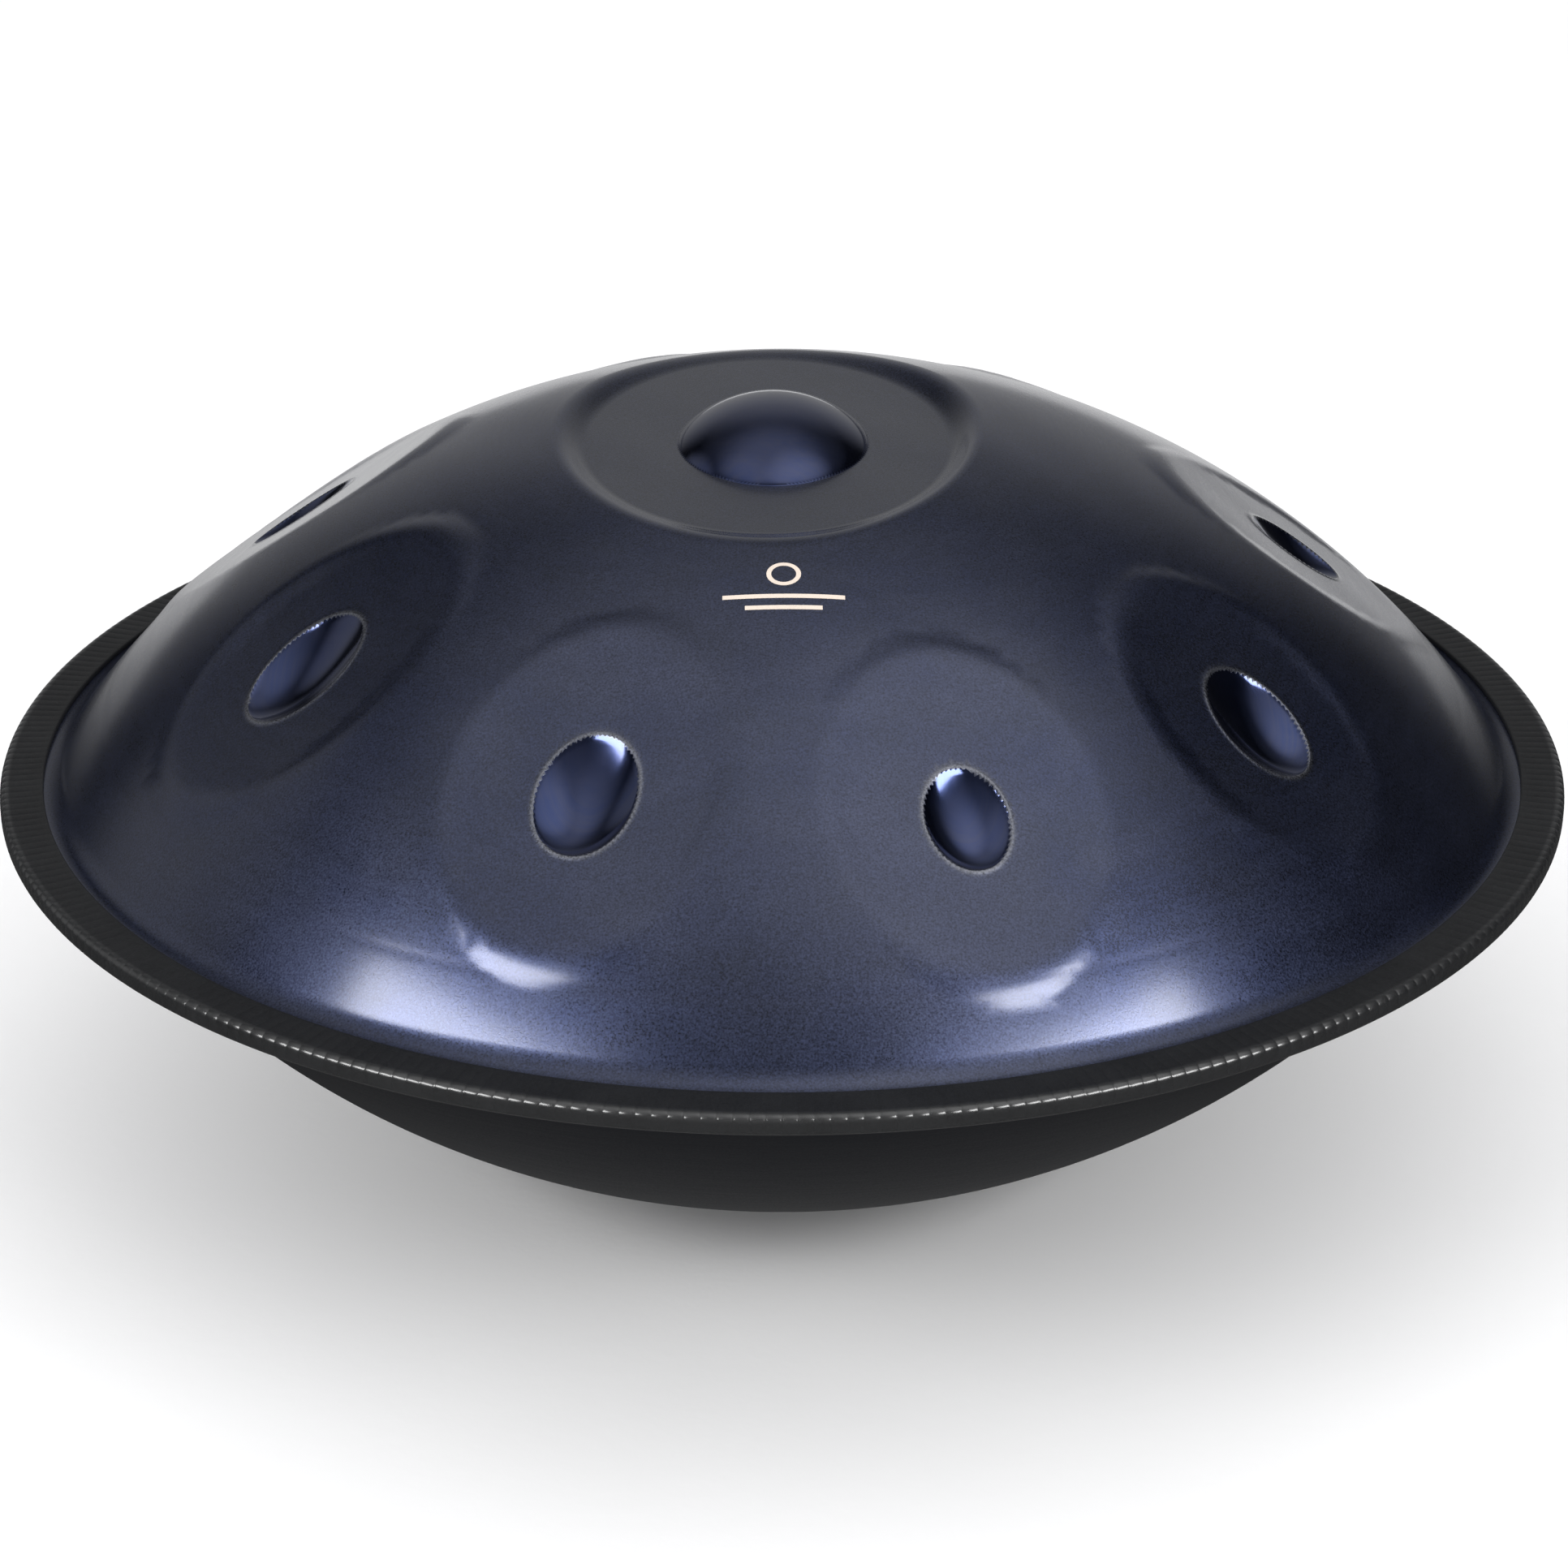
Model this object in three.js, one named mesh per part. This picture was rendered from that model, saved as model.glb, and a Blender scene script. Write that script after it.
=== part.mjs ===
// Handpan: two nitrided steel shells glued flange to flange, with a ribbed edge trim around the rim.
// Millimetres, +Z up. The origin is on the vertical axis, in the plane that the pan rests on,
// and -Y is the front. Bearings are in degrees from the front, positive towards +X.
import * as THREE from 'three';

// Driving dimensions
const flangeRadius = 266.5; // outer edge of both steel flanges
const sheet = 1.2; // thickness of the shell steel
const domeRadius = 251; // where the upper shell meets its flange
const domeRise = 125; // top of the plain dome above its flange
const bowlRadius = 253; // where the lower shell meets its flange
const bowlDepth = 143; // bottom of the plain bowl, without its port, below the middle plane
const portRadius = 50; // free opening of the sound port
const portNeck = 22; // height of the turned-in neck above the resting face
const portRoll = 7; // outer radius of the roll from the bowl into the neck
const glueThickness = 0.6;
const seatGap = 0.1; // left between the glue and each flange, and around the trim core
const trimRadius = 270; // outside of the trim
const trimThickness = 6.6;
const trimInner = 255.3; // where the trim's legs end on the flange
const seamDegrees = 0.15; // butt joint of the trim strip, at the back
const aroundSteps = 72; // flat facets around every round piece

// Notes around the dome: bearing, distance from the axis, half length of the flattened field and
// half length of its dimple. Fields and dimples are ellipses with their long way along the slope.
const toneFields = [
  { bearing: -18.4, out: 187, half: 60, dimple: 21 },
  { bearing: 16.7, out: 193, half: 58, dimple: 17.3 },
  { bearing: 52, out: 191, half: 58, dimple: 21.3 },
  { bearing: 94, out: 179, half: 58, dimple: 18.6 },
  { bearing: 146, out: 181, half: 62, dimple: 22 },
  { bearing: -158, out: 180, half: 66, dimple: 24 },
  { bearing: -106, out: 178, half: 65, dimple: 22.5 },
  { bearing: -59, out: 179, half: 63, dimple: 23.5 },
];
const fieldWidthRatio = 0.7; // width of a field against its length
const dimpleWidthRatio = 0.76;
const dimpleDepthRatio = 0.32; // depth against half the dimple's width
const fieldFlatness = 0.92; // share of the dome's own bulge that hammering takes out of a field
const fieldBlend = [0.86, 1.12]; // where a field starts and ends its blend, in field radii
const dingBlend = [0.92, 1.08]; // the same for the centre note

// The centre note: a nearly level ellipse with a steep-sided bump, both long from front to back
const ding = {
  x: -5, y: -6, halfWidth: 67, halfLength: 87, level: 110.7, tilt: 0.03,
  bumpX: -3, bumpY: -6, bumpHalfWidth: 32, bumpHalfLength: 40, bumpHeight: 14, bumpPower: 0.8,
};

const radians = THREE.MathUtils.degToRad;

// Plain spherical shells, from their rim radius and height
const sphereRadius = (rim, height) => (rim * rim + height * height) / (2 * height);
const domeSphere = sphereRadius(domeRadius, domeRise);
const domeCentre = domeRise - domeSphere;
const bowlSphere = sphereRadius(bowlRadius, bowlDepth);
const bowlCentre = bowlSphere - bowlDepth;

// Heights of the rim pack and of the resting face, from the middle plane of the glue
const flangeInside = glueThickness / 2 + seatGap;
const flangeOutside = flangeInside + sheet;
const restRadius = portRadius + portRoll;
const restWidth = 5.5;
const restDrop = Math.sqrt(bowlSphere ** 2 - (restRadius + restWidth / 2) ** 2) - bowlCentre;

// How far a point lies from the middle of an ellipse, in ellipse radii
const ellipseRadii = (u, v, halfU, halfV) => Math.hypot(u / halfU, v / halfV);

// 1 inside the blend, 0 outside it and smooth in between
const inside = (away, [start, end]) => 1 - THREE.MathUtils.smoothstep(away, start, end);

// The field's own axes: down the slope, around the dome and out of the surface
function fieldAxes(field) {
  const bearing = radians(field.bearing);
  const tilt = Math.asin(field.out / domeSphere);
  const outward = new THREE.Vector3(Math.sin(bearing), -Math.cos(bearing), 0);
  const around = new THREE.Vector3(Math.cos(bearing), Math.sin(bearing), 0);
  const up = new THREE.Vector3(0, 0, 1);
  const down = outward.clone().multiplyScalar(Math.cos(tilt)).addScaledVector(up, -Math.sin(tilt));
  const normal = outward.clone().multiplyScalar(Math.sin(tilt)).addScaledVector(up, Math.cos(tilt));
  return { ...field, outward, around, down, normal, lift: Math.cos(tilt) };
}
const fields = toneFields.map(fieldAxes);

// How much one field moves the plain dome at a point, measured straight up
function fieldShift(field, point) {
  const width = field.half * fieldWidthRatio;
  const along = point.dot(field.down);
  const across = point.dot(field.around);
  const away = ellipseRadii(along, across, field.half, width);
  if (away > fieldBlend[1] || point.dot(field.normal) < 0) return 0;
  const sag = domeSphere - point.dot(field.normal);
  const flatSag = fieldFlatness * (field.half ** 2 + width ** 2) / (4 * domeSphere);
  const blend = inside(away, fieldBlend);
  const dimpleWidth = field.dimple * dimpleWidthRatio;
  const inDimple = Math.min(1, ellipseRadii(along, across, field.dimple, dimpleWidth));
  const dent = dimpleDepthRatio * dimpleWidth * (1 - inDimple ** 2);
  return (blend * (sag - flatSag) - dent) / field.lift;
}

// Top of the upper shell above its flange
function domeHeight(x, y) {
  const out = Math.hypot(x, y);
  if (out >= domeRadius) return 0;
  const fromCentre = new THREE.Vector3(x, y, Math.sqrt(domeSphere ** 2 - out ** 2));
  const plain = fromCentre.z + domeCentre;
  const hammered = fields.reduce((height, field) => height + fieldShift(field, fromCentre), plain);
  const away = ellipseRadii(x - ding.x, y - ding.y, ding.halfWidth, ding.halfLength);
  const blend = inside(away, dingBlend);
  const onBump = ellipseRadii(x - ding.bumpX, y - ding.bumpY, ding.bumpHalfWidth, ding.bumpHalfLength);
  const bump = ding.bumpHeight * Math.max(0, 1 - onBump ** 2) ** ding.bumpPower;
  return THREE.MathUtils.lerp(hammered, ding.level + ding.tilt * y, blend) + bump;
}

// Points of an ellipse around (x, y), with its long way turned to a direction
function ellipsePoints(centre, longWay, halfLong, halfShort, count) {
  const shortWay = new THREE.Vector2(-longWay.y, longWay.x);
  const points = [];
  for (let i = 0; i < count; i++) {
    const angle = (i + 0.5) * 2 * Math.PI / count;
    const point = centre.clone().addScaledVector(longWay, halfLong * Math.cos(angle));
    points.push(point.addScaledVector(shortWay, halfShort * Math.sin(angle)));
  }
  return points;
}

// Seen from above, a field is shortened along the slope by its tilt
function fieldPlanPoints(field) {
  const centre = new THREE.Vector2(field.outward.x, field.outward.y).multiplyScalar(field.out);
  const longWay = new THREE.Vector2(field.outward.x, field.outward.y);
  const ring = (half, ratio, scale, count) =>
    ellipsePoints(centre, longWay, scale * half * field.lift, scale * half * ratio, count);
  return [
    centre,
    ...ring(field.dimple, dimpleWidthRatio, 0.4, 6),
    ...ring(field.dimple, dimpleWidthRatio, 0.75, 12),
    ...ring(field.dimple, dimpleWidthRatio, 1, 18),
    ...ring(field.half, fieldWidthRatio, 0.62, 14),
    ...ring(field.half, fieldWidthRatio, fieldBlend[0], 22),
    ...ring(field.half, fieldWidthRatio, 0.99, 22),
    ...ring(field.half, fieldWidthRatio, fieldBlend[1], 22),
  ];
}

function dingPlanPoints() {
  const front = new THREE.Vector2(0, -1);
  const bumpCentre = new THREE.Vector2(ding.bumpX, ding.bumpY);
  const fieldCentre = new THREE.Vector2(ding.x, ding.y);
  const bump = (scale, count) =>
    ellipsePoints(bumpCentre, front, scale * ding.bumpHalfLength, scale * ding.bumpHalfWidth, count);
  const field = (scale, count) =>
    ellipsePoints(fieldCentre, front, scale * ding.halfLength, scale * ding.halfWidth, count);
  return [
    bumpCentre, ...bump(0.4, 8), ...bump(0.72, 14), ...bump(0.92, 20), ...bump(1, 24),
    ...field(0.68, 20), ...field(dingBlend[0], 30), ...field(1, 32), ...field(dingBlend[1], 32),
  ];
}

// Points of the plain dome between the fields, on a triangular grid
function plainPlanPoints(spacing) {
  const clearOf = (point) => fields.every((field) => {
    const at = new THREE.Vector3(point.x, point.y, 0);
    const along = (at.dot(field.outward) - field.out) / field.lift;
    return ellipseRadii(along, at.dot(field.around), field.half, field.half * fieldWidthRatio) > 1.24;
  });
  const points = [];
  const rowHeight = spacing * Math.sqrt(3) / 2;
  const rows = Math.ceil(domeRadius / rowHeight);
  for (let row = -rows; row <= rows; row++) {
    for (let column = -rows; column <= rows; column++) {
      const point = new THREE.Vector2((column + (row % 2) / 2) * spacing, row * rowHeight);
      const away = ellipseRadii(point.x - ding.x, point.y - ding.y, ding.halfWidth, ding.halfLength);
      if (point.length() < domeRadius - 16 && away > 1.24 && clearOf(point)) points.push(point);
    }
  }
  return points;
}

function ringPlanPoints(radius) {
  const points = [];
  for (let i = 0; i < aroundSteps; i++) {
    const angle = i * 2 * Math.PI / aroundSteps;
    points.push(new THREE.Vector2(radius * Math.sin(angle), -radius * Math.cos(angle)));
  }
  return points;
}

// Delaunay triangles of plan points, adding one point at a time to one big triangle
function triangulate(points) {
  const far = 50 * flangeRadius;
  const outside = [[-far, -far], [far, -far], [0, far]].map(([x, y]) => new THREE.Vector2(x, y));
  const all = [...points, ...outside];
  const circled = (a, b, c) => {
    const ab = all[b].clone().sub(all[a]);
    const ac = all[c].clone().sub(all[a]);
    const doubleArea = 2 * ab.cross(ac);
    const x = (ac.y * ab.lengthSq() - ab.y * ac.lengthSq()) / doubleArea;
    const y = (ab.x * ac.lengthSq() - ac.x * ab.lengthSq()) / doubleArea;
    return { corners: [a, b, c], x: all[a].x + x, y: all[a].y + y, reach: Math.hypot(x, y) };
  };
  let triangles = [circled(points.length, points.length + 1, points.length + 2)];
  points.forEach((point, index) => {
    const holds = (t) => Math.hypot(point.x - t.x, point.y - t.y) < t.reach * (1 - 1e-9);
    const edges = new Map();
    for (const { corners: [a, b, c] } of triangles.filter(holds)) {
      for (const [from, to] of [[a, b], [b, c], [c, a]]) {
        if (!edges.delete(`${to} ${from}`)) edges.set(`${from} ${to}`, [from, to]);
      }
    }
    triangles = triangles.filter((t) => !holds(t));
    for (const [from, to] of edges.values()) triangles.push(circled(from, to, index));
  });
  return triangles.map((t) => t.corners).filter((corners) => Math.max(...corners) < points.length);
}

// A closed sheet: the plan's triangles on top and underneath, joined around the outer ring,
// which is the first ring of plan points
function sheetGeometry(plan, topHeight, thicknessAt) {
  const corners = triangulate(plan);
  const positions = [];
  for (const { x, y } of plan) positions.push(x, y, topHeight(x, y));
  for (const { x, y } of plan) positions.push(x, y, topHeight(x, y) - thicknessAt(x, y));
  const indices = [];
  for (const [a, b, c] of corners) {
    indices.push(a, b, c, c + plan.length, b + plan.length, a + plan.length);
  }
  for (let i = 0; i < aroundSteps; i++) {
    const next = (i + 1) % aroundSteps;
    const below = i + plan.length;
    const nextBelow = next + plan.length;
    indices.push(i, below, next, next, below, nextBelow);
  }
  const geometry = new THREE.BufferGeometry();
  geometry.setAttribute('position', new THREE.Float32BufferAttribute(positions, 3));
  geometry.setIndex(indices);
  geometry.computeVertexNormals();
  return geometry;
}

// Upper shell: the hammered dome and its flange, pressed from one sheet
function topShellGeometry() {
  const footRing = domeRadius - 6;
  const plan = [
    ...ringPlanPoints(flangeRadius),
    ...ringPlanPoints(domeRadius),
    ...ringPlanPoints(footRing),
    ...fields.flatMap(fieldPlanPoints).filter((point) => point.length() < footRing - 7),
    ...dingPlanPoints(),
    ...plainPlanPoints(17),
  ];
  const steepness = (out) => 1 / Math.sqrt(1 - (out / domeSphere) ** 2);
  const thicknessAt = (x, y) => {
    const out = Math.hypot(x, y);
    return out > domeRadius - 1 ? sheet : sheet * steepness(out);
  };
  return sheetGeometry(plan, domeHeight, thicknessAt);
}

// Points of an arc in a lathe profile: x is the radius and y the height
function arcPoints(x, y, radius, fromDegrees, toDegrees, steps) {
  const points = [];
  for (let i = 0; i <= steps; i++) {
    const angle = radians(THREE.MathUtils.lerp(fromDegrees, toDegrees, i / steps));
    points.push(new THREE.Vector2(x + radius * Math.cos(angle), y + radius * Math.sin(angle)));
  }
  return points;
}

// A closed profile turned around the vertical axis
function turned(profile) {
  return new THREE.LatheGeometry([...profile, profile[0]], aroundSteps).rotateX(Math.PI / 2);
}

// Lower shell: a plain bowl with a flange and a sound port whose edge is rolled inwards and up
function bottomShellGeometry() {
  const edgeAngle = (radius, out) => THREE.MathUtils.radToDeg(-Math.acos(out / radius));
  const bowlArc = (radius, fromOut, toOut) =>
    arcPoints(0, bowlCentre, radius, edgeAngle(radius, fromOut), edgeAngle(radius, toOut), 9);
  const portEdge = restRadius + restWidth;
  const rollHeight = portRoll - restDrop;
  const neckTop = portNeck - restDrop;
  const innerRoll = portRoll - sheet;
  const at = (out, height) => new THREE.Vector2(out, height);
  return turned([
    at(flangeRadius, -flangeInside),
    at(bowlRadius, -flangeInside),
    ...bowlArc(bowlSphere - sheet, bowlRadius - 2.5, portEdge + 8),
    at(portEdge, sheet - restDrop),
    ...arcPoints(restRadius, rollHeight, innerRoll, 270, 180, 3),
    at(portRadius + sheet, neckTop),
    at(portRadius, neckTop),
    ...arcPoints(restRadius, rollHeight, portRoll, 180, 270, 3),
    at(portEdge, -restDrop),
    ...bowlArc(bowlSphere, portEdge + 8, bowlRadius - 1),
    at(bowlRadius + 1.5, -flangeOutside),
    at(flangeRadius, -flangeOutside),
  ]);
}

function glueRingGeometry() {
  const half = glueThickness / 2;
  const inner = bowlRadius + 1;
  const outer = flangeRadius - 0.5;
  return turned([
    new THREE.Vector2(inner, -half), new THREE.Vector2(outer, -half),
    new THREE.Vector2(outer, half), new THREE.Vector2(inner, half),
  ]);
}

// The trim strip's route: once around the rim from one side of its butt joint to the other
class RimRoute extends THREE.Curve {
  constructor(radius) {
    super();
    this.radius = radius;
  }

  getPoint(t) {
    const angle = radians(THREE.MathUtils.lerp(seamDegrees / 2, 360 - seamDegrees / 2, t)) + Math.PI / 2;
    return new THREE.Vector3(this.radius * Math.cos(angle), this.radius * Math.sin(angle), 0);
  }
}

// A strip section swept along the rim. In the section x is the height and y the way inwards
// from the trim's outside.
function swept(section) {
  return new THREE.ExtrudeGeometry(section, {
    extrudePath: new RimRoute(trimRadius), steps: aroundSteps, curveSegments: 2,
  });
}

// Outline of a U that opens inwards: outside half height and depth, and its wall
function uOutline(path, halfHeight, outside, legEnd, wall, web) {
  path.moveTo(-halfHeight, outside);
  path.lineTo(halfHeight, outside);
  path.lineTo(halfHeight, legEnd);
  path.lineTo(halfHeight - wall, legEnd);
  path.lineTo(halfHeight - wall, outside + web);
  path.lineTo(wall - halfHeight, outside + web);
  path.lineTo(wall - halfHeight, legEnd);
  path.lineTo(-halfHeight, legEnd);
  path.closePath();
  return path;
}

// Places inside the trim section
const trimLeg = trimThickness / 2 - flangeOutside - 0.15;
const trimWeb = trimRadius - flangeRadius - 0.3;
const trimDepth = trimRadius - trimInner;
const coreSheet = 0.4;
const coreHalf = trimThickness / 2 - 0.6;
const coreOutside = 1.4;
const coreEnd = trimDepth - 1.5;

// Trim jacket: a soft strip with rounded outer edges and a slot that holds the steel core
function trimJacketGeometry() {
  const half = trimThickness / 2;
  const round = 2.8;
  const tip = 0.6;
  const section = new THREE.Shape();
  section.moveTo(-half + round, 0);
  section.lineTo(half - round, 0);
  section.absarc(half - round, round, round, -Math.PI / 2, 0, false);
  section.lineTo(half, trimDepth - tip);
  section.lineTo(half - tip, trimDepth);
  section.lineTo(half - trimLeg, trimDepth);
  section.lineTo(half - trimLeg, trimWeb);
  section.lineTo(trimLeg - half, trimWeb);
  section.lineTo(trimLeg - half, trimDepth);
  section.lineTo(tip - half, trimDepth);
  section.lineTo(-half, trimDepth - tip);
  section.lineTo(-half, round);
  section.absarc(-half + round, round, round, Math.PI, 1.5 * Math.PI, false);
  const slotSheet = coreSheet + 2 * seatGap;
  const slot = new THREE.Path();
  uOutline(slot, coreHalf + seatGap, coreOutside - seatGap, coreEnd + seatGap, slotSheet, slotSheet);
  section.holes.push(slot);
  return swept(section);
}

// Trim core: the thin steel carrier inside the jacket that makes the strip grip the flange
function trimCoreGeometry() {
  return swept(uOutline(new THREE.Shape(), coreHalf, coreOutside, coreEnd, coreSheet, coreSheet));
}

const finishes = {
  nitridedTop: { color: 0x2c3650, roughness: 0.34, metalness: 1 },
  nitridedBottom: { color: 0x232a38, roughness: 0.4, metalness: 1 },
  trimPlastic: { color: 0x3a3a3d, roughness: 0.6, metalness: 0 },
  coreSteel: { color: 0x9a9ca0, roughness: 0.45, metalness: 1 },
  glue: { color: 0x4a4844, roughness: 0.7, metalness: 0 },
};

const handpan = new THREE.Group();
handpan.name = 'handpan';
const middlePlane = new THREE.Group();
middlePlane.position.z = restDrop;
handpan.add(middlePlane);

function addPart(name, geometry, finish, height = 0) {
  const mesh = new THREE.Mesh(geometry, new THREE.MeshStandardMaterial(finishes[finish]));
  mesh.name = name;
  mesh.position.z = height;
  middlePlane.add(mesh);
}

addPart('top_shell', topShellGeometry(), 'nitridedTop', flangeOutside);
addPart('bottom_shell', bottomShellGeometry(), 'nitridedBottom');
addPart('glue_ring', glueRingGeometry(), 'glue');
addPart('trim_jacket', trimJacketGeometry(), 'trimPlastic');
addPart('trim_core', trimCoreGeometry(), 'coreSteel');

export default handpan;
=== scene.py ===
"""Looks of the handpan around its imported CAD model. Metres, +Z up, -Y the front, as in the CAD."""

import math

import bmesh
import bpy
import numpy as np
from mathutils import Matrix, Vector
from mathutils.geometry import delaunay_2d_cdt, tessellate_polygon


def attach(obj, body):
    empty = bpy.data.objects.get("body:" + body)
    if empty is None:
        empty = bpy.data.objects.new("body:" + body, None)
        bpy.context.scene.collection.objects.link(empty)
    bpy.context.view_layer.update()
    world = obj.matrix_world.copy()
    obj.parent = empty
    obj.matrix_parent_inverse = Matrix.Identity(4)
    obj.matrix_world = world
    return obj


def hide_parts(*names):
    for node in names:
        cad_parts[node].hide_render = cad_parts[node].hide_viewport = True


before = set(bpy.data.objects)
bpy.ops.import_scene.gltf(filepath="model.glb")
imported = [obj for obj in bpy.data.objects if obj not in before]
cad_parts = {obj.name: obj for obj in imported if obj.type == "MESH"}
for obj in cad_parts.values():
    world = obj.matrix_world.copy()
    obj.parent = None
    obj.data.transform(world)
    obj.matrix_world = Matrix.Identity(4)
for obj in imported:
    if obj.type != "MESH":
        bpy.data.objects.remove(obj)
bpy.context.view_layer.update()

MM = 0.001
FRONT = np.array([0.0, -1.0])

# Sizes of the CAD model, in millimetres
FLANGE_RADIUS = 266.5
SHEET = 1.2
DOME_RADIUS = 251.0
DOME_RISE = 125.0
FOOT_START = 247.0
BOWL_RADIUS = 253.0
BOWL_DEPTH = 143.0
PORT_RADIUS = 50.0
PORT_NECK = 22.0
PORT_ROLL = 7.0
REST_RADIUS = PORT_RADIUS + PORT_ROLL
REST_WIDTH = 5.5
FLANGE_INSIDE = 0.4
FLANGE_OUTSIDE = FLANGE_INSIDE + SHEET
TRIM_RADIUS = 270.0
TRIM_THICKNESS = 6.6
TRIM_INNER = 255.3
SEAM_DEGREES = 0.15


def sphere_radius(rim, height):
    return (rim * rim + height * height) / (2 * height)


DOME_SPHERE = sphere_radius(DOME_RADIUS, DOME_RISE)
DOME_CENTRE = DOME_RISE - DOME_SPHERE
BOWL_SPHERE = sphere_radius(BOWL_RADIUS, BOWL_DEPTH)
BOWL_CENTRE = BOWL_SPHERE - BOWL_DEPTH
# Where the dome starts to curve out into its flange, its slope there and the curve's reach
FOOT_RISE = math.sqrt(DOME_SPHERE**2 - FOOT_START**2) + DOME_CENTRE
FOOT_SLOPE = FOOT_START / (FOOT_RISE - DOME_CENTRE)
FOOT_REACH = 2 * FOOT_RISE / FOOT_SLOPE
MIDDLE = math.sqrt(BOWL_SPHERE**2 - (REST_RADIUS + REST_WIDTH / 2) ** 2) - BOWL_CENTRE

# Notes around the dome: bearing from the front, distance out, half length of field and of dimple
TONE_FIELDS = [
    (-18.4, 187, 60, 21.0),
    (16.7, 193, 58, 17.3),
    (52, 191, 58, 21.3),
    (94, 179, 58, 18.6),
    (146, 181, 62, 22.0),
    (-158, 180, 66, 24.0),
    (-106, 178, 65, 22.5),
    (-59, 179, 63, 23.5),
]
# Widths are against lengths, the dimples' depth is against half their width, and blends are in field radii
FIELD_WIDTH = 0.7
FIELD_FLATNESS = 0.92
FIELD_BLEND = (0.86, 1.12)
DIMPLE_WIDTH = 0.76
DIMPLE_DEPTH = 0.32
LIP_HEIGHT = 0.22
LIP_WIDTH = 0.8

# The centre note, a nearly level ellipse, and the bump in it
DING_AT = (-5.0, -6.0)
DING_HALF = (67.0, 87.0)
DING_LEVEL = 110.7
DING_TILT = 0.03
DING_BLEND = (0.92, 1.08)
BUMP_AT = (-3.0, -6.0)
BUMP_HALF = (32.0, 40.0)
BUMP_HEIGHT = 13.95
BUMP_POWER = 0.8

# Unevenness of the sheet: a faint ring left by forming, and broad hammering away from the foot
FORMING_LINE = 234.0
FORMING_WIDTH = 1.1
FORMING_DEPTH = 0.04
HAMMERING_HEIGHT = 0.07
HAMMERING_LENGTHS = (36, 44, 52, 60, 70, 85, 100)
HAMMERING_SEED = 11
HAMMERING_ENDS = (225, 240)

# Points of the upper shell's mesh
GRID_SPACING = 4.2
RIM_STEPS = 360
NORMAL_STEP = 0.2
POLISHED_LIMIT = 0.2

# The trim's clearance from the flanges, the ribs as (place in the pitch, share of the depth), and the core
TRIM_GAP = 0.15
TRIM_WEB_GAP = 0.3
RIB_COUNT = 362
RIB_DEPTH = 0.17
RIB_SHAPE = ((0, 1), (0.08, 0.55), (0.16, 0.08), (0.5, 0), (0.84, 0.08), (0.92, 0.55))
CORE_THICKNESS = 0.4
CORE_GAP = 0.1

# The printed mark on the front of the dome: a ring's two radii over bars as (width, place up the slope).
# Distances up the slope are shortened by the plan ratio when seen from above.
MARK_OUT = 112.0
MARK_X = 0.5
MARK_PLAN_RATIO = 0.9
MARK_RING = (5.4, 3.9)
MARK_BARS = ((38.0, -10.2), (24.0, -15.2))
MARK_BAR_HALF = 0.9
MARK_LIFT = 0.03
MARK_SKIN = 0.05

# Camera and reflected room, in metres and degrees
CAMERA_DISTANCE = 1.269
CAMERA_ELEVATION = 24.22
CAMERA_LENS = 82.8
CAMERA_SHIFT = (0.0012, -0.030)
ROOM_RADIUS = 6.0
# Patches of the reflected room: azimuth, elevation, reach and strength
ROOM_PATCHES = [
    (0, 88, 48, 0.24),
    (68, 66, 34, 0.42),
    (-75, 62, 30, 0.15),
    (-112, 22, 24, 0.25),
    (180, 12, 42, 0.24),
    (0, 8, 40, 0.15),
]


# ---------------------------------------------------------------- shape of the upper shell


def smoothstep(value, low, high):
    t = np.clip((value - low) / (high - low), 0, 1)
    return t * t * (3 - 2 * t)


def ellipse_radii(u, v, half_u, half_v):
    return np.hypot(u / half_u, v / half_v)


class Field:
    """A note on the side of the dome, with its own axes down the slope, around and out."""

    def __init__(self, bearing, out, half, dimple):
        turn = math.radians(bearing)
        tilt = math.asin(out / DOME_SPHERE)
        self.outward = np.array([math.sin(turn), -math.cos(turn)])
        self.around = np.array([math.cos(turn), math.sin(turn)])
        self.down = np.array([*(self.outward * math.cos(tilt)), -math.sin(tilt)])
        self.normal = np.array([*(self.outward * math.sin(tilt)), math.cos(tilt)])
        self.lift = math.cos(tilt)
        self.out = out
        self.half = half
        self.dimple = dimple

    def places(self, x, y, z):
        """Distance out of the field in field radii and in dimple radii, and the height along the normal."""
        along = x * self.down[0] + y * self.down[1] + z * self.down[2]
        across = x * self.around[0] + y * self.around[1]
        above = x * self.normal[0] + y * self.normal[1] + z * self.normal[2]
        field = ellipse_radii(along, across, self.half, self.half * FIELD_WIDTH)
        dimple = ellipse_radii(along, across, self.dimple, self.dimple * DIMPLE_WIDTH)
        far = 9
        other_side = above < 0
        return np.where(other_side, far, field), np.where(other_side, far, dimple), above


FIELDS = [Field(*row) for row in TONE_FIELDS]


def waves(x, y, wavelengths, seed):
    """A gentle pattern of crossing waves between -1 and 1 or so, the same on every run."""
    draw = np.random.default_rng(seed)
    total = np.zeros_like(x)
    for wavelength in wavelengths:
        turn, phase = draw.uniform(0, 2 * math.pi, 2)
        total += np.sin((x * math.cos(turn) + y * math.sin(turn)) * 2 * math.pi / wavelength + phase)
    return total / math.sqrt(len(wavelengths))


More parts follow.
